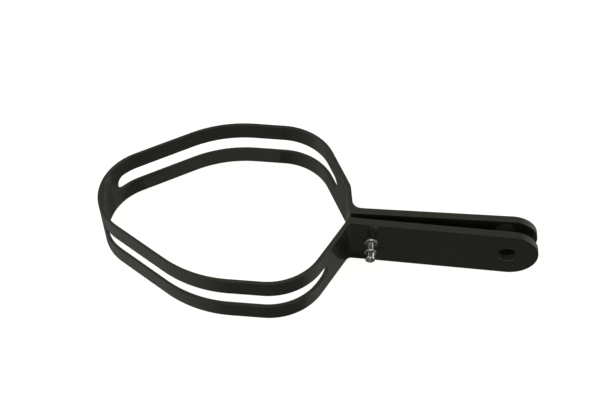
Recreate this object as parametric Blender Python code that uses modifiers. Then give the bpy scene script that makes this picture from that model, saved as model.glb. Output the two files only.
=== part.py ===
"""Silencer hanger clamp: a hexagonal moulded strap with two flat tabs, drawn
together by a small pinch screw near the neck.

Frame: metres, +Z up. The clamp lies on its lower edge (z = 0) with the loop
to the left (-X) and the two hanger tabs pointing to +X. The front half is the
one at -Y. The origin is under the centre of the bounding box.

The plan of the strap is drawn in its own "neck" coordinates, in millimetres:
x = 0 is where the flanks of the hexagon would meet, y = 0 is the loop's own
centre line. NECK_X moves that drawing into the object's frame.
"""
import bpy
import bmesh
import math
from mathutils import Matrix, Vector

OBJECT_NAME = "silencer_hanger_clamp"

# ---------------------------------------------------------------- dimensions
# millimetres, turned into metres by MM where they are used
MM = 0.001

NECK_X = 21.49            # neck drawing -> object frame
HEIGHT = 30.0             # width of the strap = height of the lying part
LEFT_T = 1.8              # wall of the loop at the blunt left end,
SIDE_T = 1.9              # along the straight sides,
FLANK_T = 2.4             # on the flanks, toward the neck,
SHOULDER_T = 2.2          # and on the rear half's shoulder
TAB_T = 4.0               # wall of a hanger tab

# inner outline of the loop: blunt left end, two parallel sides, two flanks
APEX_X = -161.9           # virtual corner of the left end, before rounding
APEX_R = 29.7
SIDE_LEFT_X = -80.4       # left corner of the straight side
SIDE_LEFT_R = 61.8
SIDE_RIGHT_X = -26.3      # right corner of the straight side
SIDE_RIGHT_R = 29.7
HALF_WIDTH_LEFT = 53.5    # half of the loop's clear width at those corners
HALF_WIDTH_RIGHT = 53.3
SPLIT_GAP = 0.3           # between the two halves at the left bend

# neck: only the rear half has a shoulder, which carries its tab past the
# centre line, so the pair of tabs sits toward the front
SHOULDER_TOP = (-6.5, 12.6)
SHOULDER_R = 8.0
NECK_CORNER_X = -3.9
NECK_CORNER_R = 1.0
REAR_FILLET_R = 5.0
FRONT_FILLET_R = 3.0

# tabs: inner faces, y = face at x = 0 and the outward slope
REAR_TAB_Y = -5.2
FRONT_TAB_Y = -8.1
TAB_SPLAY = 0.022
TAB_END_X = 81.3          # centre of the round end
TAB_END_R = 15.0
HANGER_HOLE_X = 80.0
HANGER_HOLE_D = 10.0

# lightening slots, one in each half of the loop
SLOT_WIDTH = 9.7
SLOT_MID_Z = 15.0
REAR_SLOT_BEND_DEG = 29.5     # where the slot starts on the left bend
FRONT_SLOT_BEND_DEG = 35.0
REAR_SLOT_END_Y = 25.3        # where it ends on the flank
FRONT_SLOT_END_Y = 30.8

# pinch screw and its hardware (M3), axis along +Y
SCREW_X = 8.5
SCREW_Z = 15.0
SHANK_D = 3.0
PITCH = 0.5
HEAD_D = 5.4
HEAD_CHAMFER = 0.85
HEAD_L = 3.4
HEAD_END_Y = -24.0        # outer end of the head, screw backed out
RECESS_SPAN = 2.8         # cross recess in the head, tip to tip
RECESS_WIDTH = 0.66
RECESS_DEPTH = 1.4
SPRING_WASHER_D = 5.4
SPRING_WASHER_BORE = 3.3
SPRING_WASHER_T = 1.0
PLAIN_WASHER_D = 6.4
PLAIN_WASHER_BORE = 3.3
PLAIN_WASHER_T = 0.5
STACK_GAP = 0.05
SHANK_END_Y = 5.0
BUSH_FLANGE_D = 7.4
BUSH_FLANGE_T = 0.8
BUSH_BARREL_D = 5.0
BUSH_BORE = 3.6
TAB_SCREW_HOLE_D = 5.2
SEAT_GAP = 0.1
NUT_AF = 5.5
NUT_L = 4.0
NUT_BORE = 3.16
NUT_RECESS_D = 4.5
NUT_RECESS_L = 1.3
RING_L = 1.15
RING_D = 4.3

ARC_STEP = math.radians(3.0)
ROUND = 48


# ------------------------------------------------------------------ helpers
def clear_scene():
    for ob in list(bpy.data.objects):
        bpy.data.objects.remove(ob, do_unlink=True)


def new_collection(name):
    col = bpy.data.collections.new(name)
    bpy.context.scene.collection.children.link(col)
    return col


def material(name, colour, roughness, metallic):
    mat = bpy.data.materials.new(name)
    mat.use_nodes = True
    bsdf = mat.node_tree.nodes["Principled BSDF"]
    bsdf.inputs["Base Color"].default_value = (*colour, 1.0)
    bsdf.inputs["Roughness"].default_value = roughness
    bsdf.inputs["Metallic"].default_value = metallic
    mat.diffuse_color = (*colour, 1.0)
    return mat


def move_to(ob, col):
    for c in list(ob.users_collection):
        c.objects.unlink(ob)
    col.objects.link(ob)


def as_cutter(ob):
    move_to(ob, CUTTERS)
    ob.hide_render = True
    ob.display_type = 'WIRE'
    return ob


def cut(ob, cutter, operation='DIFFERENCE'):
    mod = ob.modifiers.new(cutter.name, 'BOOLEAN')
    mod.operation = operation
    mod.solver = 'EXACT'
    mod.object = cutter
    return mod


def smooth(ob, angle=35.0):
    ob.data.shade_smooth()
    ob.data.set_sharp_from_angle(angle=math.radians(angle))


def world(x, y, z):
    """neck drawing in millimetres -> object frame in metres"""
    return Vector(((x + NECK_X) * MM, y * MM, z * MM))


# ------------------------------------------------------------ plan geometry
def line_cross(p, d, q, e):
    """crossing of the lines p + s d and q + t e"""
    det = d[0] * -e[1] + e[0] * d[1]
    rx, ry = q[0] - p[0], q[1] - p[1]
    s = (rx * -e[1] + e[0] * ry) / det
    return (p[0] + d[0] * s, p[1] + d[1] * s)


def unit(a, b):
    n = math.hypot(b[0] - a[0], b[1] - a[1])
    return ((b[0] - a[0]) / n, (b[1] - a[1]) / n)


def offset_corners(corners, dists):
    """corners of an open outline moved sideways (to the left of travel),
    each straight by its own distance"""
    lines = []
    for a, b, dist in zip(corners[:-1], corners[1:], dists):
        d = unit(a, b)
        lines.append(((a[0] - d[1] * dist, a[1] + d[0] * dist), d))
    out = [lines[0][0]]
    for (p, d), (q, e) in zip(lines[:-1], lines[1:]):
        out.append(line_cross(p, d, q, e))
    b = corners[-1]
    d, dist = lines[-1][1], dists[len(lines) - 1]
    out.append((b[0] - d[1] * dist, b[1] + d[0] * dist))
    return out


def rounded(corners, radii, step=ARC_STEP):
    """points along an open outline whose inner corners are rounded"""
    pts = [corners[0]]
    for k in range(1, len(corners) - 1):
        a, b, c = corners[k - 1], corners[k], corners[k + 1]
        u, v = unit(b, a), unit(b, c)
        ang = math.acos(max(-1.0, min(1.0, u[0] * v[0] + u[1] * v[1])))
        r = radii[k]
        t = r / math.tan(ang / 2.0)
        s = (b[0] + u[0] * t, b[1] + u[1] * t)
        w = (u[0] + v[0], u[1] + v[1])
        wl = math.hypot(*w)
        h = r / math.sin(ang / 2.0)
        cen = (b[0] + w[0] / wl * h, b[1] + w[1] / wl * h)
        a0 = math.atan2(s[1] - cen[1], s[0] - cen[0])
        e = (b[0] + v[0] * t, b[1] + v[1] * t)
        a1 = math.atan2(e[1] - cen[1], e[0] - cen[0])
        da = (a1 - a0 + math.pi) % (2.0 * math.pi) - math.pi
        n = max(2, math.ceil(abs(da) / step))
        for i in range(n + 1):
            th = a0 + da * i / n
            pts.append((cen[0] + r * math.cos(th), cen[1] + r * math.sin(th)))
    pts.append(corners[-1])
    return pts


def after_bend(pts, side):
    """drops the part of an outline that is across the split at the left"""
    y0 = SPLIT_GAP / 2.0
    k = next(i for i in range(1, len(pts))
             if pts[i][1] * side > y0 + 1e-6 >= pts[i - 1][1] * side)
    prev, first = pts[k - 1], pts[k]
    f = (y0 * side - prev[1]) / (first[1] - prev[1])
    return [(prev[0] + (first[0] - prev[0]) * f, y0 * side)] + pts[k:]


def loop_corners(side):
    """inner corners of one half, left to right, the apex reached from the
    other half so that the bend is rounded right round"""
    return [(SIDE_LEFT_X, -HALF_WIDTH_LEFT * side),
            (APEX_X, 0.0),
            (SIDE_LEFT_X, HALF_WIDTH_LEFT * side),
            (SIDE_RIGHT_X, HALF_WIDTH_RIGHT * side)]


def half_outline(side):
    """closed plan of one half: side = +1 rear, -1 front"""
    base = loop_corners(side)
    radii = [0.0, APEX_R, SIDE_LEFT_R, SIDE_RIGHT_R]
    outr = [0.0, APEX_R + LEFT_T, SIDE_LEFT_R + SIDE_T, SIDE_RIGHT_R + FLANK_T]
    walls = [t * side for t in (LEFT_T, LEFT_T, SIDE_T, FLANK_T, SHOULDER_T)]
    face0 = REAR_TAB_Y if side > 0 else FRONT_TAB_Y
    slope = TAB_SPLAY * side
    tip_x = TAB_END_X + TAB_END_R
    face_dir = (1.0, slope)
    inner_face = (0.0, face0)
    outer_face = (0.0, face0 + TAB_T * side)
    tip_in = (tip_x, face0 + slope * tip_x)
    tip_out = (tip_x, face0 + TAB_T * side + slope * tip_x)
    if side > 0:
        neck = (NECK_CORNER_X, face0 + slope * NECK_CORNER_X)
        inner = base + [SHOULDER_TOP, neck, tip_in]
        inner_r = radii + [SHOULDER_R, NECK_CORNER_R, 0.0]
        flank = offset_corners(base + [SHOULDER_TOP, neck], walls)
        corner = line_cross(flank[-2], unit(flank[-2], flank[-1]), outer_face, face_dir)
        outer = flank[:-1] + [corner, tip_out]
        outer_r = outr + [SHOULDER_R + SHOULDER_T, REAR_FILLET_R, 0.0]
    else:
        flank_dir = unit(base[-1], (0.0, 0.0))
        neck = line_cross(base[-1], flank_dir, inner_face, face_dir)
        inner = base + [neck, tip_in]
        inner_r = radii + [NECK_CORNER_R, 0.0]
        flank = offset_corners(base + [neck], walls)
        corner = line_cross(flank[-2], unit(flank[-2], flank[-1]), outer_face, face_dir)
        outer = flank[:-1] + [corner, tip_out]
        outer_r = outr + [FRONT_FILLET_R, 0.0]
    inn = after_bend(rounded(inner, inner_r), side)
    out = after_bend(rounded(outer, outer_r), side)
    return inn + out[::-1]


def bend_centre():
    half = math.atan2(HALF_WIDTH_LEFT, SIDE_LEFT_X - APEX_X)
    return APEX_X + APEX_R / math.sin(half)


class WallPath:
    """middle of the loop's wall in one half, from the split at the left bend
    to the neck, read by distance along it"""

    def __init__(self, side):
        grow = LEFT_T / 2.0
        corners = offset_corners(loop_corners(side) + [(0.0, 0.0)], [grow * side] * 4)
        radii = [0.0, APEX_R + grow, SIDE_LEFT_R + grow, SIDE_RIGHT_R + grow, 0.0]
        pts = rounded(corners, radii, step=math.radians(1.0))
        keep = [q for q in pts if q[1] * side > 1e-6]
        self.side = side
        self.pts = [(bend_centre() - APEX_R - grow, 0.0)] + keep
        self.dist = [0.0]
        for q, r in zip(self.pts[:-1], self.pts[1:]):
            self.dist.append(self.dist[-1] + math.hypot(r[0] - q[0], r[1] - q[1]))

    def at(self, s):
        for k in range(1, len(self.dist)):
            if self.dist[k] >= s or k == len(self.dist) - 1:
                f = (s - self.dist[k - 1]) / (self.dist[k] - self.dist[k - 1])
                p, q = self.pts[k - 1], self.pts[k]
                return (p[0] + (q[0] - p[0]) * f, p[1] + (q[1] - p[1]) * f)

    def outward(self, s):
        d = unit(self.at(max(s - 0.4, 0.0)), self.at(s + 0.4))
        return (-d[1] * self.side, d[0] * self.side)

    def reach(self, end_y):
        """distance at which the flank comes down to the given half width"""
        for k in range(len(self.pts) - 1, 0, -1):
            y0, y1 = self.pts[k - 1][1] * self.side, self.pts[k][1] * self.side
            if y0 >= end_y >= y1:
                f = (y0 - end_y) / (y0 - y1)
                return self.dist[k - 1] + (self.dist[k] - self.dist[k - 1]) * f


# ------------------------------------------------------------- solid makers
def prism(name, outline, low, high, upright=False):
    """flat outline (mm) made into a solid. Lying: outline is (x, y) and the
    solid runs in z. Upright: outline is (x, z) and the solid runs in y."""
    cu = bpy.data.curves.new(name, 'CURVE')
    cu.dimensions = '2D'
    cu.fill_mode = 'BOTH'
    cu.render_resolution_u = 0
    cu.extrude = (high - low) / 2.0 * MM
    sp = cu.splines.new('POLY')
    sp.points.add(len(outline) - 1)
    for p, (a, b) in zip(sp.points, outline):
        p.co = ((a + NECK_X) * MM, b * MM, 0.0, 1.0)
    sp.use_cyclic_u = True
    guide = bpy.data.objects.new(name + "_outline", cu)
    bpy.context.scene.collection.objects.link(guide)
    mid = (low + high) / 2.0 * MM
    if upright:
        guide.rotation_euler = (math.pi / 2.0, 0.0, 0.0)
        guide.location = (0.0, mid, 0.0)
    else:
        guide.location = (0.0, 0.0, mid)
    bpy.context.view_layer.update()
    dg = bpy.context.evaluated_depsgraph_get()
    me = bpy.data.meshes.new_from_object(guide.evaluated_get(dg))
    bm = bmesh.new()
    bm.from_mesh(me)
    bmesh.ops.remove_doubles(bm, verts=bm.verts, dist=1e-6)
    bmesh.ops.recalc_face_normals(bm, faces=bm.faces)
    bm.to_mesh(me)
    bm.free()
    me.name = name
    ob = bpy.data.objects.new(name, me)
    ob.matrix_world = guide.matrix_world.copy()
    bpy.context.scene.collection.objects.link(ob)
    bpy.data.objects.remove(guide, do_unlink=True)
    return ob


def slot_cutter(name, side, bend_deg, end_y):
    """solid of the lightening slot: a flat grid with round ends, thickened,
    then laid along the wall"""
    path = WallPath(side)
    s0 = (APEX_R + LEFT_T / 2.0) * math.radians(bend_deg)
    s1 = path.reach(end_y)
    r = SLOT_WIDTH / 2.0
    round_n, run_n = 8, 56
    stations = [s0 + r - r * math.cos(math.pi / 2.0 * i / round_n) for i in range(round_n)]
    stations += [s0 + r + (s1 - s0 - 2.0 * r) * i / run_n for i in range(run_n + 1)]
    stations += [s1 - r + r * math.sin(math.pi / 2.0 * i / round_n) for i in range(1, round_n + 1)]

    def half_height(s):
        t = max(s0 + r - s, s - (s1 - r), 0.0)
        return math.sqrt(max(r * r - t * t, 0.0))

    bm = bmesh.new()
    bmesh.ops.create_grid(bm, x_segments=len(stations) - 1, y_segments=1, size=1.0)
    low = min(v.co.x for v in bm.verts)
    span = max(v.co.x for v in bm.verts) - low
    for v in bm.verts:
        v.co.x = stations[round((v.co.x - low) / span * (len(stations) - 1))]
        v.co.y = math.copysign(half_height(v.co.x), v.co.y)
        v.co.z = -2.5 * LEFT_T
    top = bmesh.ops.extrude_face_region(bm, geom=bm.faces[:])
    for v in top["geom"]:
        if isinstance(v, bmesh.types.BMVert):
            v.co.z = 2.5 * LEFT_T
    bmesh.ops.remove_doubles(bm, verts=bm.verts, dist=1e-5)
    for v in bm.verts:
        p, n = path.at(v.co.x), path.outward(v.co.x)
        v.co = world(p[0] + n[0] * v.co.z, p[1] + n[1] * v.co.z, SLOT_MID_Z + v.co.y)
    bmesh.ops.recalc_face_normals(bm, faces=bm.faces)
    me = bpy.data.meshes.new(name)
    bm.to_mesh(me)
    bm.free()
    ob = bpy.data.objects.new(name, me)
    bpy.context.scene.collection.objects.link(ob)
    return ob


def cylinder(name, centre, axis, diameter, length, sides=ROUND, turn=0.0):
    """cylinder (mm) about a centre in the neck drawing, along a unit axis"""
    bpy.ops.mesh.primitive_cylinder_add(vertices=sides, radius=diameter / 2.0 * MM,
                                        depth=length * MM, end_fill_type='NGON')
    ob = bpy.context.active_object
    ob.name = name
    ob.data.name = name
    rot = Vector(axis).to_track_quat('Z', 'Y').to_matrix().to_4x4()
    ob.matrix_world = Matrix.Translation(world(*centre)) @ rot @ Matrix.Rotation(turn, 4, 'Z')
    return ob


def turned(name, profile, y0, closed=False):
    """turned piece on the screw's line. The profile is (radius, distance
    along +Y from y0) in mm and runs from the far end down its outer side."""
    me = bpy.data.meshes.new(name)
    verts = [(r * MM, 0.0, d * MM) for r, d in profile]
    edges = [(i, i + 1) for i in range(len(verts) - 1)]
    if closed:
        edges.append((len(verts) - 1, 0))
    me.from_pydata(verts, edges, [])
    ob = bpy.data.objects.new(name, me)
    bpy.context.scene.collection.objects.link(ob)
    ob.location = world(SCREW_X, y0, SCREW_Z)
    ob.rotation_euler = (-math.pi / 2.0, 0.0, 0.0)
    mod = ob.modifiers.new("turn", 'SCREW')
    mod.axis = 'Z'
    mod.steps = ROUND
    mod.render_steps = ROUND
    mod.use_merge_vertices = True
    mod.merge_threshold = 0.00001
    mod.use_smooth_shade = True
    return ob


# -------------------------------------------------------------------- build
clear_scene()
PARTS = new_collection(OBJECT_NAME)
CUTTERS = new_collection(OBJECT_NAME + "_cutters")

GLOSS_BLACK = (0.012, 0.012, 0.011)
STEEL = (0.62, 0.61, 0.59)


def finish(ob, colour, roughness, metallic):
    mat = material(ob.name + "_material", colour, roughness, metallic)
    ob.data.materials.clear()
    ob.data.materials.append(mat)
    move_to(ob, PARTS)
    return ob


# --- the two halves of the strap
def tab_end_outline():
    """what is cut away around a tab's round end, seen from the side"""
    cx, cz, r = TAB_END_X, HEIGHT / 2.0, TAB_END_R
    far = cx + r + 6.0
    pts = [(cx, -4.0), (far, -4.0), (far, HEIGHT + 4.0), (cx, HEIGHT + 4.0)]
    n = ROUND // 2
    for i in range(n + 1):
        th = math.pi / 2.0 - math.pi * i / n
        pts.append((cx + r * math.cos(th), cz + r * math.sin(th)))
    return pts


def strap_half(name, side, bend_deg, end_y):
    ob = prism(name, half_outline(side), 0.0, HEIGHT)
    face_y = (REAR_TAB_Y if side > 0 else FRONT_TAB_Y) + TAB_T / 2.0 * side

    lo, hi = (-8.0, 6.0) if side > 0 else (-18.0, -6.0)
    ends = as_cutter(prism(name + "_cut_tab_end", tab_end_outline(), lo, hi, upright=True))
    cut(ob, ends)

    hole = as_cutter(cylinder(name + "_cut_hanger_hole",
                              (HANGER_HOLE_X, face_y + TAB_SPLAY * side * HANGER_HOLE_X, SCREW_Z),
                              (0, 1, 0), HANGER_HOLE_D, TAB_T * 2.5))
    cut(ob, hole)

    bore = as_cutter(cylinder(name + "_cut_screw_hole", (SCREW_X, face_y, SCREW_Z),
                              (0, 1, 0), TAB_SCREW_HOLE_D, TAB_T * 2.5))
    cut(ob, bore)

    slot = as_cutter(slot_cutter(name + "_cut_slot", side, bend_deg, end_y))
    cut(ob, slot)
    smooth(ob, 25.0)
    return finish(ob, GLOSS_BLACK, 0.18, 0.0)


rear_half = strap_half("strap_rear_half", +1, REAR_SLOT_BEND_DEG, REAR_SLOT_END_Y)
front_half = strap_half("strap_front_half", -1, FRONT_SLOT_BEND_DEG, FRONT_SLOT_END_Y)

# the front half swings about an upright line through the left bend, so that
# is where its origin is
FLEX_X = bend_centre() - APEX_R - LEFT_T / 2.0
flex_origin = world(FLEX_X, 0.0, 0.0)
front_half.data.transform(front_half.matrix_world)
front_half.data.transform(Matrix.Translation(-flex_origin))
front_half.matrix_world = Matrix.Translation(flex_origin)

# --- flanged bushes that line the screw's hole in each tab
front_face_y = FRONT_TAB_Y - TAB_T - TAB_SPLAY * (SCREW_X + BUSH_FLANGE_D / 2.0)
rear_face_y = REAR_TAB_Y + TAB_T + TAB_SPLAY * (SCREW_X + BUSH_FLANGE_D / 2.0)
barrel = TAB_T - 0.3

front_bush = turned("front_bush", [
    (BUSH_BORE / 2, barrel),
    (BUSH_BARREL_D / 2, barrel),
    (BUSH_BARREL_D / 2, 0.0),
    (BUSH_FLANGE_D / 2 - 0.1, 0.0),
    (BUSH_FLANGE_D / 2, -0.1),
    (BUSH_FLANGE_D / 2, -BUSH_FLANGE_T + 0.15),
    (BUSH_FLANGE_D / 2 - 0.15, -BUSH_FLANGE_T),
    (BUSH_BORE / 2 + 0.15, -BUSH_FLANGE_T),
    (BUSH_BORE / 2, -BUSH_FLANGE_T + 0.15),
], front_face_y - SEAT_GAP, closed=True)
finish(front_bush, STEEL, 0.28, 1.0)

rear_bush = turned("rear_bush", [
    (BUSH_BORE / 2 + 0.15, BUSH_FLANGE_T),
    (BUSH_FLANGE_D / 2 - 0.15, BUSH_FLANGE_T),
    (BUSH_FLANGE_D / 2, BUSH_FLANGE_T - 0.15),
    (BUSH_FLANGE_D / 2, 0.1),
    (BUSH_FLANGE_D / 2 - 0.1, 0.0),
    (BUSH_BARREL_D / 2, 0.0),
    (BUSH_BARREL_D / 2, -barrel),
    (BUSH_BORE / 2, -barrel),
    (BUSH_BORE / 2, BUSH_FLANGE_T - 0.15),
], rear_face_y + SEAT_GAP, closed=True)
finish(rear_bush, STEEL, 0.28, 1.0)

# --- pinch screw: tall round head, plain shank standing for the M3 thread
head_under = HEAD_L
shank = SHANK_END_Y - HEAD_END_Y
pinch_screw = turned("pinch_screw", [
    (0.0, shank),
    (SHANK_D / 2 - 0.4, shank),
    (SHANK_D / 2, shank - 0.4),
    (SHANK_D / 2, head_under),
    (HEAD_D / 2, head_under),
    (HEAD_D / 2, HEAD_CHAMFER),
    (HEAD_D / 2 - HEAD_CHAMFER, 0.0),
    (0.0, 0.0),
], HEAD_END_Y)
for name, across, along in (("pinch_screw_cut_arm_a", RECESS_SPAN, RECESS_WIDTH),
                            ("pinch_screw_cut_arm_b", RECESS_WIDTH, RECESS_SPAN)):
    arm = as_cutter(cylinder(name, (SCREW_X, HEAD_END_Y + RECESS_DEPTH / 2.0 - 0.5, SCREW_Z), (0, 1, 0),
                             math.sqrt(2.0), RECESS_DEPTH + 1.0, sides=4, turn=math.pi / 4.0))
    arm.data.transform(Matrix.Diagonal((across, along, 1.0, 1.0)))
    cut(pinch_screw, arm)
finish(pinch_screw, STEEL, 0.25, 1.0)

# --- the washers under the head
spring_y = HEAD_END_Y + HEAD_L + STACK_GAP
ro, ri, t = SPRING_WASHER_D / 2, SPRING_WASHER_BORE / 2, SPRING_WASHER_T
spring_washer = turned("spring_washer", [(ri, t), (ro, t), (ro, 0.0), (ri, 0.0)], spring_y, closed=True)
split = as_cutter(cylinder("spring_washer_cut_split",
                           (SCREW_X + (ro + ri) / 2.0, spring_y + t / 2.0, SCREW_Z),
                           Vector((0.0, math.cos(0.6), math.sin(0.6))).normalized(),
                           0.5 * math.sqrt(2.0), t * 3.0, sides=4, turn=math.pi / 4.0))
split.data.transform(Matrix.Diagonal((4.0, 1.0, 1.0, 1.0)))
cut(spring_washer, split)
finish(spring_washer, STEEL, 0.3, 1.0)

plain_y = spring_y + t + STACK_GAP
ro, ri, t = PLAIN_WASHER_D / 2, PLAIN_WASHER_BORE / 2, PLAIN_WASHER_T
screw_washer = turned("screw_washer", [
    (ri, t), (ro - 0.1, t), (ro, t - 0.1), (ro, 0.1), (ro - 0.1, 0.0), (ri, 0.0)], plain_y, closed=True)
finish(screw_washer, STEEL, 0.3, 1.0)

# --- lock nut behind the rear tab, with the nylon ring in its outer end
nut_y = rear_face_y + SEAT_GAP + BUSH_FLANGE_T + SEAT_GAP
lock_nut = cylinder("lock_nut", (SCREW_X, nut_y + NUT_L / 2.0, SCREW_Z), (0, 1, 0),
                    NUT_AF / math.cos(math.pi / 6.0), NUT_L, sides=6)
nut_bore = as_cutter(cylinder("lock_nut_cut_bore", (SCREW_X, nut_y + NUT_L / 2.0, SCREW_Z),
                              (0, 1, 0), NUT_BORE, NUT_L * 2.0))
cut(lock_nut, nut_bore)
nut_recess = as_cutter(cylinder("lock_nut_cut_recess",
                                (SCREW_X, nut_y + NUT_L - NUT_RECESS_L / 2.0 + 0.5, SCREW_Z),
                                (0, 1, 0), NUT_RECESS_D, NUT_RECESS_L + 1.0))
cut(lock_nut, nut_recess)
finish(lock_nut, STEEL, 0.3, 1.0)

ring_y = nut_y + NUT_L - NUT_RECESS_L + 0.1
ro, ri, t = RING_D / 2, NUT_BORE / 2, RING_L
nut_nylon_ring = turned("nut_nylon_ring", [(ri, t), (ro, t), (ro, 0.0), (ri, 0.0)], ring_y, closed=True)
finish(nut_nylon_ring, (0.55, 0.57, 0.60), 0.5, 0.0)

bpy.context.view_layer.update()
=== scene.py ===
import math

import bpy
import bmesh
from mathutils import Matrix, Vector
from mathutils.geometry import delaunay_2d_cdt

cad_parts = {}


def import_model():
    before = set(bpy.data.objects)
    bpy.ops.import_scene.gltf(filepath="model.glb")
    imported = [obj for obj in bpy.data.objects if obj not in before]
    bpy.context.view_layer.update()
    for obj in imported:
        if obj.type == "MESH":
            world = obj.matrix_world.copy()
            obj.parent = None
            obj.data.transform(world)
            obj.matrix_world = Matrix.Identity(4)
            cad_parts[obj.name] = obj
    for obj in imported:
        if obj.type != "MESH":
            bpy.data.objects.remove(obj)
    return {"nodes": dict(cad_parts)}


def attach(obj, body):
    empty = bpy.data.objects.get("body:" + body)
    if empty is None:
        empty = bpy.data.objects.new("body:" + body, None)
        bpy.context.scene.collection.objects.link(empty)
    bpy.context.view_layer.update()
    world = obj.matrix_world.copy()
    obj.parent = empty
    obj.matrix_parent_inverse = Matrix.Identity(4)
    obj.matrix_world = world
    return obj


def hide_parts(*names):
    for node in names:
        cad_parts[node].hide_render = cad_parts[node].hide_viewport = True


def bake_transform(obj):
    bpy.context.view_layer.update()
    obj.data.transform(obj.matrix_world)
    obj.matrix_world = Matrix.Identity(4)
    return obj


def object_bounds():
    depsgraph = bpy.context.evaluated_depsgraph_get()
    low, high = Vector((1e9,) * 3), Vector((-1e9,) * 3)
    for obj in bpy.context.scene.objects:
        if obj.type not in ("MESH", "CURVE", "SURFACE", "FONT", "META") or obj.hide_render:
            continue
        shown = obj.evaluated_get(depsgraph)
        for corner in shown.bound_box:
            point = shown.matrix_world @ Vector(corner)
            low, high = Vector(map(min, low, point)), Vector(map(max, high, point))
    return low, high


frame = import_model()
BOX0 = [list(v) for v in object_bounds()]

MM = 0.001
NECK_X = 21.49            # neck drawing -> object frame
HEIGHT = 30.0

# ------------------------------------------------------------ strap plan (mm)
LEFT_T, SIDE_T, FLANK_T, SHOULDER_T, TAB_T = 1.8, 1.9, 2.4, 2.2, 4.0
APEX_X, APEX_R = -161.9, 29.7
SIDE_LEFT_X, SIDE_LEFT_R = -80.4, 61.8
SIDE_RIGHT_X, SIDE_RIGHT_R = -26.3, 29.7
HALF_WIDTH_LEFT, HALF_WIDTH_RIGHT = 53.5, 53.3
SHOULDER_TOP, SHOULDER_R = (-6.5, 12.6), 8.0
NECK_CORNER_X, NECK_CORNER_R = -3.9, 1.0
REAR_FILLET_R, FRONT_FILLET_R = 5.0, 3.0
REAR_TAB_Y, FRONT_TAB_Y, TAB_SPLAY = -5.2, -8.1, 0.022
TAB_END_X, TAB_END_R = 81.3, 15.0
HANGER_HOLE_X, HANGER_HOLE_D = 80.0, 10.0
SQUARE_X = 4.3            # from here out, sections are square to the tab
SLOT_WIDTH, SLOT_MID_Z = 9.7, 15.0
SLOT_BEND_DEG = {1: 29.5, -1: 35.0}
SLOT_END_Y = {1: 25.3, -1: 30.8}
SCREW_X, SCREW_Z, SCREW_HOLE_D = 8.5, 15.0, 5.2


def world(x, y, z):
    return Vector(((x + NECK_X) * MM, y * MM, z * MM))


def unit(a, b):
    n = math.hypot(b[0] - a[0], b[1] - a[1])
    return ((b[0] - a[0]) / n, (b[1] - a[1]) / n)


def line_cross(p, d, q, e):
    det = d[0] * -e[1] + e[0] * d[1]
    rx, ry = q[0] - p[0], q[1] - p[1]
    s = (rx * -e[1] + e[0] * ry) / det
    return (p[0] + d[0] * s, p[1] + d[1] * s)


def offset_corners(corners, dists):
    lines = []
    for a, b, dist in zip(corners[:-1], corners[1:], dists):
        d = unit(a, b)
        lines.append(((a[0] - d[1] * dist, a[1] + d[0] * dist), d))
    out = [lines[0][0]]
    for (p, d), (q, e) in zip(lines[:-1], lines[1:]):
        out.append(line_cross(p, d, q, e))
    b, (d, dist) = corners[-1], (lines[-1][1], dists[len(lines) - 1])
    out.append((b[0] - d[1] * dist, b[1] + d[0] * dist))
    return out


def half_corners(side):
    """matched inner and outer corners of one half, from the apex to the tip"""
    base = [(SIDE_LEFT_X, -HALF_WIDTH_LEFT * side), (APEX_X, 0.0),
            (SIDE_LEFT_X, HALF_WIDTH_LEFT * side), (SIDE_RIGHT_X, HALF_WIDTH_RIGHT * side)]
    walls = [t * side for t in (LEFT_T, LEFT_T, SIDE_T, FLANK_T, SHOULDER_T)]
    face0 = REAR_TAB_Y if side > 0 else FRONT_TAB_Y
    slope = TAB_SPLAY * side
    tip_x = TAB_END_X + TAB_END_R
    face_dir = (1.0, slope)
    outer_face = (0.0, face0 + TAB_T * side)
    tip_in = (tip_x, face0 + slope * tip_x)
    tip_out = (tip_x, face0 + TAB_T * side + slope * tip_x)
    if side > 0:
        neck = (NECK_CORNER_X, face0 + slope * NECK_CORNER_X)
        inner = base + [SHOULDER_TOP, neck, tip_in]
        radii_in = [0, APEX_R, SIDE_LEFT_R, SIDE_RIGHT_R, SHOULDER_R, NECK_CORNER_R, 0]
        flank = offset_corners(base + [SHOULDER_TOP, neck], walls)
        corner = line_cross(flank[-2], unit(flank[-2], flank[-1]), outer_face, face_dir)
        outer = flank[:-1] + [corner, tip_out]
        radii_out = [0, APEX_R + LEFT_T, SIDE_LEFT_R + SIDE_T, SIDE_RIGHT_R + FLANK_T,
                     SHOULDER_R + SHOULDER_T, REAR_FILLET_R, 0]
    else:
        flank_dir = unit(base[-1], (0.0, 0.0))
        neck = line_cross(base[-1], flank_dir, (0.0, face0), face_dir)
        inner = base + [neck, tip_in]
        radii_in = [0, APEX_R, SIDE_LEFT_R, SIDE_RIGHT_R, NECK_CORNER_R, 0]
        flank = offset_corners(base + [neck], walls)
        corner = line_cross(flank[-2], unit(flank[-2], flank[-1]), outer_face, face_dir)
        outer = flank[:-1] + [corner, tip_out]
        radii_out = [0, APEX_R + LEFT_T, SIDE_LEFT_R + SIDE_T, SIDE_RIGHT_R + FLANK_T, FRONT_FILLET_R, 0]
    return inner[1:], radii_in[1:], outer[1:], radii_out[1:]


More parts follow.
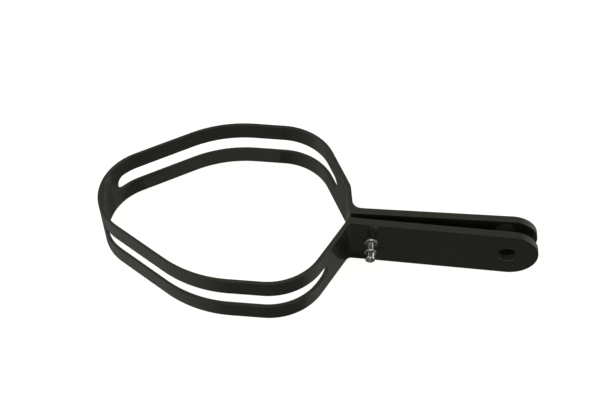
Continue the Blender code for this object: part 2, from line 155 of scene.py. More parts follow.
def arc_of(a, b, c, r):
    u, v = unit(b, a), unit(b, c)
    ang = math.acos(max(-1.0, min(1.0, u[0] * v[0] + u[1] * v[1])))
    t = r / math.tan(ang / 2.0)
    w = (u[0] + v[0], u[1] + v[1])
    wl = math.hypot(*w)
    h = r / math.sin(ang / 2.0)
    cen = (b[0] + w[0] / wl * h, b[1] + w[1] / wl * h)
    s = (b[0] + u[0] * t, b[1] + u[1] * t)
    e = (b[0] + v[0] * t, b[1] + v[1] * t)
    a0 = math.atan2(s[1] - cen[1], s[0] - cen[0])
    a1 = math.atan2(e[1] - cen[1], e[0] - cen[0])
    da = (a1 - a0 + math.pi) % (2.0 * math.pi) - math.pi
    return cen, r, a0, da, s, e


def path_pieces(corners, radii, splits):
    """straights and arcs of an outline; splits = {index of straight: [x values]}"""
    out, here = [], corners[0]
    for k in range(1, len(corners)):
        last = k == len(corners) - 1
        arc = None if last else arc_of(corners[k - 1], corners[k], corners[k + 1], radii[k])
        end = corners[k] if last else arc[4]
        for x in splits.get(k - 1, []):
            f = (x - here[0]) / (end[0] - here[0])
            mid = (x, here[1] + (end[1] - here[1]) * f)
            out.append(("line", here, mid))
            here = mid
        out.append(("line", here, end))
        if arc:
            out.append(("arc",) + arc[:4])
            here = arc[5]
    return out


def piece_length(p):
    if p[0] == "line":
        return math.hypot(p[2][0] - p[1][0], p[2][1] - p[1][1])
    return abs(p[2] * p[4])


def piece_at(p, f):
    """point and travel direction at a share f of the piece"""
    if p[0] == "line":
        a, b = p[1], p[2]
        return (a[0] + (b[0] - a[0]) * f, a[1] + (b[1] - a[1]) * f), unit(a, b)
    _, cen, r, a0, da = p
    th = a0 + da * f
    sg = 1.0 if da > 0 else -1.0
    return ((cen[0] + r * math.cos(th), cen[1] + r * math.sin(th)),
            (-math.sin(th) * sg, math.cos(th) * sg))


ri, rri, ro, rro = half_corners(1)
fi, fri, fo, fro = half_corners(-1)
INNER = ri[::-1] + fi[1:]
INNER_R = rri[::-1] + fri[1:]
OUTER = ro[::-1] + fo[1:]
OUTER_R = rro[::-1] + fro[1:]
last = len(INNER) - 2
SPLITS = {0: [SQUARE_X], last: [SQUARE_X]}
P_IN = path_pieces(INNER, INNER_R, SPLITS)
P_OUT = path_pieces(OUTER, OUTER_R, SPLITS)
START = [0.0]
for a, b in zip(P_IN, P_OUT):
    START.append(START[-1] + 0.5 * (piece_length(a) + piece_length(b)))
TOTAL = START[-1]


def wall(s):
    """inner point, outer point, their travel directions at distance s"""
    s = max(0.0, min(TOTAL, s))
    k = 0
    while k < len(P_IN) - 1 and s > START[k + 1]:
        k += 1
    f = (s - START[k]) / (START[k + 1] - START[k])
    pi, ti = piece_at(P_IN[k], f)
    po, to = piece_at(P_OUT[k], f)
    return pi, po, ti, to


def stations():
    out = []
    for k in range(len(P_IN)):
        length = START[k + 1] - START[k]
        if P_IN[k][0] == "line":
            n = max(1, round(length / 3.2))
        else:
            sweep = abs(P_IN[k][4])
            n = max(3, round(sweep / math.radians(2.6)))
        out += [START[k] + length * i / n for i in range(n)]
    return out + [TOTAL]


def find_s(test, lo, hi):
    """s between lo and hi at which test(s) changes sign"""
    flo = test(lo)
    for _ in range(60):
        mid = 0.5 * (lo + hi)
        if (test(mid) > 0) == (flo > 0):
            lo = mid
        else:
            hi = mid
    return 0.5 * (lo + hi)


def mid_xy(s):
    pi, po, _, _ = wall(s)
    return (0.5 * (pi[0] + po[0]), 0.5 * (pi[1] + po[1]))


STATIONS = stations()
arcs = [k for k, p in enumerate(P_IN) if p[0] == "arc"]
apex = max(arcs, key=lambda k: -min(piece_at(P_IN[k], 0.5)[0][0], 0.0))
S_APEX = 0.5 * (START[apex] + START[apex + 1])
TAB_R0, TAB_R1 = START[0], START[1]
TAB_F0, TAB_F1 = START[-2], START[-1]


def tab_s(x, side):
    """s of a place on a tab"""
    if side > 0:
        return find_s(lambda s: mid_xy(s)[0] - x, TAB_R0, TAB_R1)
    return find_s(lambda s: mid_xy(s)[0] - x, TAB_F0, TAB_F1)


def smoothstep(t):
    t = max(0.0, min(1.0, t))
    return t * t * (3.0 - 2.0 * t)


def edge_radius(s):
    """rounding of the strap's long edges: larger on the thick tabs"""
    near = max(smoothstep((TAB_R1 + 4.0 - s) / 8.0), smoothstep((s - TAB_F0 + 4.0) / 8.0))
    return 0.22 + 0.10 * near


# --------------------------------------------------- edges of the flat pattern
def ring(points, radius):
    """points: (s, z, outward s, outward z) with the material on the left"""
    return {"pts": points, "r": radius}


CAP_N = 40
SLOT_EDGE_R = 0.22
END_S = {1: TAB_R0 + TAB_END_R, -1: TAB_F1 - TAB_END_R}
outline = []
run = [s for s in STATIONS if END_S[1] + 0.8 < s < END_S[-1] - 0.8]
for s in [END_S[1]] + run:
    outline.append((s, 0.0, 0.0, -1.0))
for i in range(CAP_N + 1):
    th = -math.pi / 2 + math.pi * i / CAP_N
    outline.append((END_S[-1] + TAB_END_R * math.cos(th), 15.0 + TAB_END_R * math.sin(th),
                    math.cos(th), math.sin(th)))
for s in run[::-1]:
    outline.append((s, HEIGHT, 0.0, 1.0))
for i in range(CAP_N):
    th = math.pi / 2 + math.pi * i / CAP_N
    outline.append((END_S[1] + TAB_END_R * math.cos(th), 15.0 + TAB_END_R * math.sin(th),
                    math.cos(th), math.sin(th)))

rings = [ring(outline, edge_radius)]


def slot_ring(side):
    r = SLOT_WIDTH / 2.0
    a = (APEX_R + LEFT_T / 2.0) * math.radians(SLOT_BEND_DEG[side])
    if side > 0:
        hi = S_APEX - a
        lo = find_s(lambda s: mid_xy(s)[1] - SLOT_END_Y[1], TAB_R1, START[arcs[2]])
    else:
        lo = S_APEX + a
        hi = find_s(lambda s: -mid_xy(s)[1] - SLOT_END_Y[-1], START[arcs[-2] + 1], TAB_F0)
    pts, n = [], 20
    mids = [s for s in STATIONS if lo + r + 0.4 < s < hi - r - 0.4]
    # the material is on the left, so the hole runs clockwise
    for i in range(n + 1):
        th = -math.pi / 2 - math.pi * i / n
        pts.append((lo + r + r * math.cos(th), SLOT_MID_Z + r * math.sin(th), -math.cos(th), -math.sin(th)))
    for s in mids:
        pts.append((s, SLOT_MID_Z + r, 0.0, -1.0))
    for i in range(n + 1):
        th = math.pi / 2 - math.pi * i / n
        pts.append((hi - r + r * math.cos(th), SLOT_MID_Z + r * math.sin(th), -math.cos(th), -math.sin(th)))
    for s in mids[::-1]:
        pts.append((s, SLOT_MID_Z - r, 0.0, 1.0))
    return ring(pts, lambda s: SLOT_EDGE_R), (lo, hi)


def hole_ring(x, z, d, side, radius):
    c, pts, n = tab_s(x, side), [], 48
    for i in range(n):
        th = -2.0 * math.pi * i / n
        pts.append((c + d / 2 * math.cos(th), z + d / 2 * math.sin(th), -math.cos(th), -math.sin(th)))
    return ring(pts, lambda s: radius), c


SLOTS = {}
for side in (1, -1):
    r, SLOTS[side] = slot_ring(side)
    rings.append(r)
HOLES = []
for side in (1, -1):
    for x, z, d, radius in ((HANGER_HOLE_X, 15.0, HANGER_HOLE_D, 0.35), (SCREW_X, SCREW_Z, SCREW_HOLE_D, 0.15)):
        r, c = hole_ring(x, z, d, side, radius)
        rings.append(r)
        HOLES.append((c, z, d / 2 + radius))


def in_material(s, z, margin):
    """inside the flat face, at least margin from its edge"""
    b = edge_radius(s) + margin
    if not b < z < HEIGHT - b:
        return False
    for side in (1, -1):
        ds = (END_S[1] - s) if side > 0 else (s - END_S[-1])
        if ds > 0 and math.hypot(ds, z - 15.0) > TAB_END_R - b:
            return False
        lo, hi = SLOTS[side]
        r = SLOT_WIDTH / 2.0
        t = max(lo + r - s, s - (hi - r), 0.0)
        if math.hypot(t, z - SLOT_MID_Z) < r + SLOT_EDGE_R + margin:
            return False
    return all(math.hypot(s - c, z - hz) > r + margin for c, hz, r in HOLES)


# ------------------------------------------------------------- strap as a mesh
verts, normals, uvs, edge_w, faces = [], [], [], [], []


def put(s, z, depth, out_s, out_z, theta, inner):
    """a vertex: depth below the outer or inner face, normal tilted by theta
    from the face toward the edge's outward direction"""
    pi, po, ti, to = wall(s)
    t = math.hypot(po[0] - pi[0], po[1] - pi[1])
    u = ((po[0] - pi[0]) / t, (po[1] - pi[1]) / t)
    d = (t - depth) if inner else depth
    p = (po[0] - u[0] * d, po[1] - u[1] * d)
    n = (ti[1] * -1.0, ti[0]) if inner else (to[1], -to[0])
    along = (0.5 * (ti[0] + to[0]), 0.5 * (ti[1] + to[1]))
    st, ct = math.sin(theta), math.cos(theta)
    nv = Vector((n[0] * ct + along[0] * out_s * st, n[1] * ct + along[1] * out_s * st, out_z * st)).normalized()
    verts.append(world(p[0], p[1], z))
    normals.append(nv)
    uvs.append((s * MM, z * MM))
    edge_w.append(math.sin(theta))
    return len(verts) - 1


PROFILE = [math.pi / 2 * i / 5 for i in range(6)]
flat_edges = {False: [], True: []}
for rg in rings:
    loops = []
    for inner in (False, True):
        for th in (PROFILE if not inner else PROFILE[::-1]):
            loop = []
            for s, z, os_, oz in rg["pts"]:
                b = rg["r"](s)
                e = b * (1.0 - math.sin(th))
                loop.append(put(s - os_ * e, z - oz * e, b * (1.0 - math.cos(th)), os_, oz, th, inner))
            loops.append(loop)
            if th == 0.0:
                flat_edges[inner].append(loop)
    for r0, r1 in zip(loops[:-1], loops[1:]):
        n = len(r0)
        for i in range(n):
            j = (i + 1) % n
            faces.append((r1[i], r1[j], r0[j], r0[i]))

flat_pts, flat_cons = [], []
for rg in rings:
    base, n = len(flat_pts), len(rg["pts"])
    for s, z, os_, oz in rg["pts"]:
        b = rg["r"](s)
        flat_pts.append((s - os_ * b, z - oz * b))
    flat_cons += [(base + i, base + (i + 1) % n) for i in range(n)]
n_rim = len(flat_pts)
rows = [HEIGHT * j / 12.0 for j in range(1, 12)]
for s in STATIONS:
    for z in rows:
        if in_material(s, z, 0.75):
            flat_pts.append((s, z))
out_v, _, out_f, orig_v, _, _ = delaunay_2d_cdt(
    [Vector(p) for p in flat_pts], flat_cons, [], 0, 1e-6)
for inner in (False, True):
    rim = [v for loop in flat_edges[inner] for v in loop]
    index = []
    for co, orig in zip(out_v, orig_v):
        known = [i for i in orig if i < n_rim]
        if known:
            index.append(rim[known[0]])
        else:
            index.append(put(co.x, co.y, 0.0, 0.0, 0.0, 0.0, inner))
    for f in out_f:
        cs = sum(out_v[i].x for i in f) / len(f)
        cz = sum(out_v[i].y for i in f) / len(f)
        if in_material(cs, cz, -0.0005):
            tri = [index[i] for i in f]
            faces.append(tuple(tri[::-1] if inner else tri))

low, high = BOX0
verts = [Vector([min(max(c, a), b) for c, a, b in zip(v, low, high)]) for v in verts]
me = bpy.data.meshes.new("strap")
me.from_pydata(verts, [], faces)
me.validate(clean_customdata=False)
me.update()
uv = me.uv_layers.new(name="strap_uv")
for loop in me.loops:
    uv.data[loop.index].uv = uvs[loop.vertex_index]
att = me.attributes.new("edge", 'FLOAT', 'POINT')
att.data.foreach_set("value", edge_w)
me.shade_smooth()
me.normals_split_custom_set_from_vertices(normals)
strap = bpy.data.objects.new("strap_composite", me)
bpy.context.scene.collection.objects.link(strap)


# ---------------------------------------------------------------- hardware
def soften(points, radius, closed, steps=3):
    """a profile whose corners are rounded; radius is one number or one each"""
    n, out = len(points), []
    for k in range(n):
        r = radius if isinstance(radius, (int, float)) else radius[k]
        if r <= 0.0 or (not closed and k in (0, n - 1)):
            out.append(points[k])
            continue
        a, b, c = points[k - 1], points[k], points[(k + 1) % n]
        cen, r, a0, da, _, _ = arc_of(a, b, c, r)
        out += [(cen[0] + r * math.cos(a0 + da * i / steps),
                 cen[1] + r * math.sin(a0 + da * i / steps)) for i in range(steps + 1)]
    return out


class Shell:
    """rings of points about the screw's line, joined one to the next"""

    def __init__(self):
        self.bm = bmesh.new()

    def ring(self, y, radius, n):
        pts = []
        for i in range(n):
            a = 2.0 * math.pi * i / n
            r = radius(a, y) if callable(radius) else radius
            pts.append(self.bm.verts.new(world(SCREW_X + r * math.cos(a), y, SCREW_Z + r * math.sin(a))))
        return pts

    def point(self, y):
        return [self.bm.verts.new(world(SCREW_X, y, SCREW_Z))]

    def join(self, loops, closed=False):
        pairs = list(zip(loops[:-1], loops[1:])) + ([(loops[-1], loops[0])] if closed else [])
        for a, b in pairs:
            n = max(len(a), len(b))
            for i in range(n):
                j = (i + 1) % n
                if len(a) == 1:
                    self.bm.faces.new((a[0], b[i], b[j]))
                elif len(b) == 1:
                    self.bm.faces.new((a[i], b[0], a[j]))
                else:
                    self.bm.faces.new((a[i], b[i], b[j], a[j]))

    def turn(self, profile, n, closed):
        self.join([self.point(y) if r < 1e-6 else self.ring(y, r, n) for r, y in profile], closed)

    def made(self, name, angle=32.0):
        bmesh.ops.recalc_face_normals(self.bm, faces=self.bm.faces)
        mesh = bpy.data.meshes.new(name)
        self.bm.to_mesh(mesh)
        self.bm.free()
        mesh.shade_smooth()
        mesh.set_sharp_from_angle(angle=math.radians(angle))
        ob = bpy.data.objects.new(name, mesh)
        bpy.context.scene.collection.objects.link(ob)
        weigh = ob.modifiers.new("weighted", 'WEIGHTED_NORMAL')
        weigh.keep_sharp = True
        weigh.weight = 60
        return ob


def hexagon(across_flats):
    h = across_flats / 2.0
    return lambda a, y=0.0: h / math.cos((a + math.pi / 6) % (math.pi / 3) - math.pi / 6)


# --- pinch screw: tall round head with a cross recess, threaded up to the head
HEAD_R, HEAD_Y0, HEAD_Y1 = 2.7, -24.0, -20.6
SHANK_R, SHANK_END, PLAIN_TO, PITCH = 1.5, 5.0, -20.3, 0.5


def cross(span, width):
    """outline of a cross, by direction; its inner corners are a little full"""
    def at(a, y=0.0):
        t = (a + math.pi / 4.0) % (math.pi / 2.0) - math.pi / 4.0
        t = abs(t)
        arm = span / math.cos(t)
        side = width / max(math.sin(t), 1e-6)
        return min(arm, side) + 0.10 * (t / (math.pi / 4.0)) ** 4
    return at


def thread(a, y):
    phase = (y / PITCH + a / (2.0 * math.pi)) % 1.0
    d = min(phase, 1.0 - phase)
    cut = min(1.0, max(0.0, (d - 0.0625) / 0.3125))
    start = smoothstep((y - PLAIN_TO) / 0.6)
    point = max(0.0, y - (SHANK_END - 0.45))
    return min(SHANK_R - 0.29 * cut * start, SHANK_R - point * 0.85)


sh = Shell()
N_HEAD = 288
mouth, low_cross = cross(1.40, 0.33), cross(0.62, 0.20)
loops = [sh.point(HEAD_Y0 + 1.40), sh.ring(HEAD_Y0 + 1.32, lambda a, y: 0.4 * low_cross(a), N_HEAD),
         sh.ring(HEAD_Y0 + 1.15, low_cross, N_HEAD)]
for f in (0.25, 0.5, 0.75):
    loops.append(sh.ring(HEAD_Y0 + 1.15 - 1.03 * f, lambda a, y, f=f: (1.0 - f) * low_cross(a) + f * mouth(a), N_HEAD))
loops += [sh.ring(HEAD_Y0 + 0.12, mouth, N_HEAD), sh.ring(HEAD_Y0 + 0.08, mouth, N_HEAD),
          sh.ring(HEAD_Y0 + 0.045, lambda a, y: mouth(a) + 0.03, N_HEAD),
          sh.ring(HEAD_Y0 + 0.02, lambda a, y: mouth(a) + 0.12, N_HEAD),
          sh.ring(HEAD_Y0 + 0.01, lambda a, y: 0.4 * mouth(a) + 0.6 * 1.66, N_HEAD)]
# the end is slightly crowned and runs round into the side
for r, y in soften([(1.66, 0.0), (2.02, 0.0), (2.56, 0.30), (2.70, 0.86), (2.70, 1.05)],
                   [0, 0.35, 0.30, 0.35, 0], False, 4):
    loops.append(sh.ring(HEAD_Y0 + y, r, N_HEAD))
# fine grooves turned round its side, then the bearing edge
for k in range(9):
    y = 1.06 + 0.24 * k
    for dy, cut in ((0.0, 0.0), (0.11, 0.06), (0.13, 0.06), (0.235, 0.0)):
        loops.append(sh.ring(HEAD_Y0 + y + dy, HEAD_R - cut, N_HEAD))
for r, y in soften([(HEAD_R, 3.25), (HEAD_R, 3.40), (1.4, 3.40)], [0, 0.08, 0], False, 3):
    loops.append(sh.ring(HEAD_Y0 + y, r, N_HEAD))
loops.append(sh.point(HEAD_Y1))
sh.join(loops)
N_TH = 48
loops = [sh.point(HEAD_Y1 - 0.4), sh.ring(HEAD_Y1 - 0.4, SHANK_R, N_TH)]
for y in (HEAD_Y1 + 0.02, HEAD_Y1 + 0.1, HEAD_Y1 + 0.2):
    loops.append(sh.ring(y, SHANK_R, N_TH))
steps = int(round((SHANK_END - PLAIN_TO) / (PITCH / 10.0)))
for i in range(steps + 1):
    y = PLAIN_TO + (SHANK_END - PLAIN_TO) * i / steps
    loops.append(sh.ring(y, thread, N_TH))
loops.append(sh.ring(SHANK_END, 1.0, N_TH))
loops.append(sh.point(SHANK_END))
sh.join(loops)
screw = sh.made("pinch_screw_m3", 40.0)

# --- spring washer: one coil of flat wire, its ends standing apart
sh = Shell()
R0, R1, WIRE, RISE = 1.66, 2.67, 0.82, 0.13
section = soften([(R0, 0.0), (R1, 0.0), (R1, WIRE), (R0, WIRE)], 0.12, True, 3)
gap, n = math.radians(6.0), 110
loops = []
for i in range(n + 1):
    f = i / n
    a = math.radians(62.0) + gap + (2.0 * math.pi - 2.0 * gap) * f
    y = -20.52 + RISE * (1.0 - f)
    # the cut ends are flared a little
    y += 0.015 * (smoothstep((f - 0.95) / 0.05) * -1.0 + smoothstep((0.05 - f) / 0.05))
    loops.append([sh.bm.verts.new(world(SCREW_X + r * math.cos(a), max(-20.548, min(-19.552, y + t)),
                                        SCREW_Z + r * math.sin(a))) for r, t in section])
for p, q in zip(loops[:-1], loops[1:]):
    for i in range(len(p)):
        j = (i + 1) % len(p)
        sh.bm.faces.new((p[i], q[i], q[j], p[j]))
sh.bm.faces.new(loops[0])
sh.bm.faces.new(loops[-1])
coil = sh.made("spring_washer_coil")

# --- plain washer: bevelled on the side toward the head
sh = Shell()
sh.turn(soften([(1.66, -19.49), (2.66, -19.49), (3.18, -19.16), (3.18, -19.01), (1.66, -19.01)],
               [0.08, 0.25, 0.06, 0.04, 0.05], True), 96, True)
washer = sh.made("plain_washer_m3")

# --- flanged bushes in the tabs
FRONT_FACE = FRONT_TAB_Y - TAB_T - TAB_SPLAY * SCREW_X
REAR_FACE = REAR_TAB_Y + TAB_T + TAB_SPLAY * SCREW_X
bushes = []
for name, seat, s in (("front_bush_flanged", -12.4684, -1.0), ("rear_bush_flanged", -0.8316, 1.0)):
    sh = Shell()
    prof = [(1.80, seat - 3.68 * s), (2.48, seat - 3.68 * s), (2.48, seat), (3.68, seat),
            (3.68, seat + 0.24 * s), (2.72, seat + 0.79 * s), (1.80, seat + 0.79 * s)]
    sh.turn(soften(prof, [0.12, 0.25, 0.08, 0.08, 0.10, 0.35, 0.16], True, 5), 96, True)
    bushes.append(sh.made(name))

# --- lock nut: chamfered hexagon and a rolled collar over the nylon ring
sh = Shell()
NUT_Y, NUT_HEX, N_NUT = 0.0684, 2.7, 144
nut_hex = hexagon(5.46)


def nut_side(a, y):
    e = min(y - NUT_Y, NUT_Y + NUT_HEX - y)
    corner = 3.08 + 0.05 * math.cos(6.0 * a)
    return min(nut_hex(a), 2.62 + e * 1.75, corner)


loops = [sh.ring(NUT_Y + 0.01, 1.80, N_NUT), sh.ring(NUT_Y + 0.01, 2.45, N_NUT)]
for e in (0.01, 0.05, 0.10, 0.15, 0.20, 0.26, 0.32, 0.5):
    loops.append(sh.ring(NUT_Y + e, nut_side, N_NUT))
for e in (0.5, 0.34, 0.28, 0.22, 0.16, 0.1, 0.05, 0.0):
    loops.append(sh.ring(NUT_Y + NUT_HEX - e, nut_side, N_NUT))
for r, y in soften([(2.50, NUT_HEX), (2.44, NUT_HEX + 0.12), (2.46, 3.45), (2.20, 3.99), (1.98, 3.985), (2.12, 3.78),
                    (2.20, 3.6), (2.20, 2.80), (1.58, 2.80), (1.58, 0.24), (1.80, 0.015)],
                   [0, 0.05, 0.5, 0.14, 0.03, 0.1, 0.1, 0.02, 0.02, 0.05, 0], False, 4):
    loops.append(sh.ring(NUT_Y + y, r, N_NUT))
sh.join(loops)
bmesh.ops.remove_doubles(sh.bm, verts=sh.bm.verts, dist=1e-8)
nut = sh.made("lock_nut_m3")

sh = Shell()
sh.turn(soften([(1.53, 2.90), (2.13, 2.90), (2.13, 3.72), (1.95, 3.90), (1.62, 3.84), (1.53, 3.70)],
               [0.03, 0.03, 0.1, 0.08, 0.08, 0.06], True), 96, True)
nylon_ring = sh.made("lock_nut_nylon")


# --------------------------------------------------------------- materials
class Nodes:
    """short names for building a node tree"""

    def __init__(self, name):
        self.mat = bpy.data.materials.new(name)
        self.mat.use_nodes = True
        self.nt = self.mat.node_tree
        self.bsdf = self.nt.nodes["Principled BSDF"]

    def set(self, **values):
        for k, v in values.items():
            self.bsdf.inputs[k.replace("_", " ")].default_value = v

    def new(self, kind, **props):
        n = self.nt.nodes.new(kind)
        for k, v in props.items():
            setattr(n, k, v)
        return n

    def feed(self, socket, value):
        if isinstance(value, (int, float, tuple)):
            socket.default_value = value
        else:
            self.nt.links.new(value, socket)

    def math(self, op, a, b=None, c=None, clamp=False):
        n = self.new("ShaderNodeMath", operation=op, use_clamp=clamp)
        self.feed(n.inputs[0], a)
        if b is not None:
            self.feed(n.inputs[1], b)
        if c is not None:
            self.feed(n.inputs[2], c)
        return n.outputs[0]

    def noise(self, vector, scale, detail=2.0, rough=0.5):
        n = self.new("ShaderNodeTexNoise")
        self.feed(n.inputs["Vector"], vector)
        n.inputs["Scale"].default_value = scale
        n.inputs["Detail"].default_value = detail
        n.inputs["Roughness"].default_value = rough
        return n.outputs["Fac"]

    def range(self, value, a, b, c, d):
        n = self.new("ShaderNodeMapRange")
        self.feed(n.inputs["Value"], value)
        for k, v in zip(("From Min", "From Max", "To Min", "To Max"), (a, b, c, d)):
            n.inputs[k].default_value = v
        return n.outputs[0]

    def mix(self, fac, a, b):
        n = self.new("ShaderNodeMix", data_type='RGBA')
        self.feed(n.inputs["Factor"], fac)
        self.feed(n.inputs[6], a)
        self.feed(n.inputs[7], b)
        return n.outputs[2]

    def bump(self, height, strength, distance, normal=None):
        n = self.new("ShaderNodeBump")
        n.inputs["Strength"].default_value = strength
        n.inputs["Distance"].default_value = distance
        self.feed(n.inputs["Height"], height)
        if normal is not None:
            self.feed(n.inputs["Normal"], normal)
        return n.outputs[0]

    def to(self, socket, value):
        self.nt.links.new(value, self.bsdf.inputs[socket])


def composite():
    """black moulded composite: a faint 2x2 twill under a thin satin coat"""
    m = Nodes("black_composite")
    m.set(IOR=1.48, Metallic=0.0, Specular_IOR_Level=0.34, Coat_Weight=0.65, Coat_Roughness=0.07, Coat_IOR=1.45)
    at = m.new("ShaderNodeUVMap", uv_map="strap_uv").outputs[0]
    obj = m.new("ShaderNodeTexCoord").outputs["Object"]
    edge = m.new("ShaderNodeAttribute", attribute_name="edge").outputs["Fac"]
    sep = m.new("ShaderNodeSeparateXYZ")
    m.feed(sep.inputs[0], at)
    tow = 1.0 / 0.0011
    u = m.math('MULTIPLY', sep.outputs[0], tow)
    v = m.math('MULTIPLY', sep.outputs[1], tow)
    diag = m.math('MODULO', m.math('ADD', m.math('ADD', m.math('FLOOR', u), m.math('FLOOR', v)), 4000.0), 4.0)
    warp = m.math('LESS_THAN', diag, 1.5)
    fu, fv = m.math('FRACT', u), m.math('FRACT', v)
    hu = m.math('MULTIPLY', m.math('MULTIPLY', fu, m.math('SUBTRACT', 1.0, fu)), 4.0)
    hv = m.math('MULTIPLY', m.math('MULTIPLY', fv, m.math('SUBTRACT', 1.0, fv)), 4.0)
    n = m.new("ShaderNodeMix", data_type='FLOAT')
    m.feed(n.inputs[0], warp)
    m.feed(n.inputs[2], hv)
    m.feed(n.inputs[3], hu)
    weave = n.outputs[0]
    flat = m.math('SUBTRACT', 1.0, m.math('MULTIPLY', edge, 1.0, clamp=True), clamp=True)
    weave_h = m.math('MULTIPLY', weave, flat)
    cloud = m.noise(obj, 42.0, 3.0, 0.55)
    fine = m.noise(obj, 900.0, 4.0, 0.6)
    grain = m.noise(obj, 5200.0, 2.0, 0.6)
    base = m.mix(m.range(cloud, 0.3, 0.7, 0.0, 1.0), (0.0046, 0.0045, 0.0026, 1.0), (0.0066, 0.0064, 0.0040, 1.0))
    base = m.mix(m.math('MULTIPLY', warp, m.math('MULTIPLY', flat, 0.35)), base, (0.0080, 0.0078, 0.0052, 1.0))
    worn = m.math('MULTIPLY', m.range(edge, 0.35, 0.95, 0.0, 1.0), m.range(fine, 0.45, 0.70, 0.0, 0.30), clamp=True)
    base = m.mix(worn, base, (0.020, 0.020, 0.016, 1.0))
    # the cut long edges are a little paler than the moulded faces
    cut_edge = m.math('MULTIPLY', m.range(edge, 0.55, 0.98, 0.0, 1.0), m.range(cloud, 0.3, 0.7, 0.75, 1.0), clamp=True)
    base = m.mix(cut_edge, base, (0.0170, 0.0166, 0.0128, 1.0))
    m.to("Base Color", base)
    rough = m.math('ADD', m.range(cloud, 0.25, 0.75, 0.22, 0.30), m.range(grain, 0.3, 0.7, -0.03, 0.03))
    rough = m.math('ADD', rough, m.math('MULTIPLY', worn, 0.12))
    m.to("Roughness", rough)
    peel = m.noise(obj, 380.0, 2.0, 0.5)
    low = m.bump(weave_h, 0.35, 0.00003)
    m.to("Normal", m.bump(grain, 0.05, 0.00003, low))
    m.to("Coat Normal", m.bump(peel, 0.05, 0.00008))
    return m.mat


def steel(name, tint, rough, lines, detail=1.0):
    """bright stainless with lathe lines round the screw's axis and fine handling marks"""
    m = Nodes(name)
    m.set(Metallic=1.0)
    obj = m.new("ShaderNodeTexCoord").outputs["Object"]
    move = m.new("ShaderNodeVectorMath", operation='SUBTRACT')
    m.feed(move.inputs[0], obj)
    move.inputs[1].default_value = tuple(world(SCREW_X, 0.0, SCREW_Z))
    sep = m.new("ShaderNodeSeparateXYZ")
    m.feed(sep.inputs[0], move.outputs[0])
    r = m.math('SQRT', m.math('ADD', m.math('MULTIPLY', sep.outputs[0], sep.outputs[0]),
                              m.math('MULTIPLY', sep.outputs[2], sep.outputs[2])))
    comb = m.new("ShaderNodeCombineXYZ")
    m.feed(comb.inputs[0], r)
    m.feed(comb.inputs[1], sep.outputs[1])
    turned = m.noise(comb.outputs[0], lines, 3.0, 0.65)
    cloud = m.noise(obj, 700.0, 3.0, 0.6)
    grain = m.noise(obj, 9000.0, 2.0, 0.6)
    dark = tuple(c * 0.72 for c in tint) + (1.0,)
    m.to("Base Color", m.mix(m.range(cloud, 0.35, 0.72, 0.0, 0.6), tint + (1.0,), dark))
    m.to("Roughness", m.math('ADD', m.range(cloud, 0.3, 0.7, rough - 0.04, rough + 0.08),
                             m.range(turned, 0.3, 0.7, -0.03, 0.05)))
    m.to("Normal", m.bump(grain, 0.10 * detail, 0.00002, m.bump(turned, 0.18 * detail, 0.00002)))
    return m.mat


def nylon():
    m = Nodes("lock_nut_nylon")
    m.set(IOR=1.53, Subsurface_Weight=0.25, Subsurface_Scale=0.0006)
    obj = m.new("ShaderNodeTexCoord").outputs["Object"]
    cloud = m.noise(obj, 900.0, 3.0, 0.6)
    m.to("Base Color", m.mix(m.range(cloud, 0.3, 0.7, 0.0, 1.0), (0.44, 0.50, 0.60, 1.0), (0.56, 0.60, 0.66, 1.0)))
    m.to("Roughness", m.range(cloud, 0.3, 0.7, 0.38, 0.52))
    m.to("Normal", m.bump(m.noise(obj, 4000.0, 3.0, 0.6), 0.2, 0.00002))
    return m.mat


BLACK = composite()
BRIGHT = steel("stainless_turned", (0.66, 0.645, 0.62), 0.13, 2600.0, 0.6)
STAMPED = steel("stainless_stamped", (0.58, 0.57, 0.55), 0.17, 900.0, 0.8)
BUSHED = steel("stainless_bush", (0.41, 0.40, 0.385), 0.19, 900.0, 0.8)
SPRING = steel("spring_steel", (0.54, 0.53, 0.515), 0.18, 1400.0, 0.8)
NYLON = nylon()

for piece, mat, slot, body, node in (
        (screw, BRIGHT, "steel", "screw", "pinch_screw"),
        (coil, SPRING, "steel", "washer_stack", "spring_washer"),
        (washer, STAMPED, "steel", "washer_stack", "screw_washer"),
        (bushes[0], BUSHED, "steel", "front_half", "front_bush"),
        (bushes[1], BUSHED, "steel", "rear_half", "rear_bush"),
        (nut, BRIGHT, "steel", "rear_half", "lock_nut"),
        (nylon_ring, NYLON, "nylon", "rear_half", "nut_nylon_ring")):
    piece.data.materials.append(mat)
    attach(piece, body)
    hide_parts(node)

strap.data.materials.append(BLACK)
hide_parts("strap_rear_half", "strap_front_half")
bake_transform(strap)

# the two halves keep the finish too, for anyone who shows them
for node, mat in (("strap_rear_half", BLACK), ("strap_front_half", BLACK), ("front_bush", BUSHED),
                  ("rear_bush", BUSHED), ("screw_washer", STAMPED), ("spring_washer", SPRING),
                  ("pinch_screw", BRIGHT), ("lock_nut", BRIGHT), ("nut_nylon_ring", NYLON)):
    frame["nodes"][node].data.materials.clear()
    frame["nodes"][node].data.materials.append(mat)

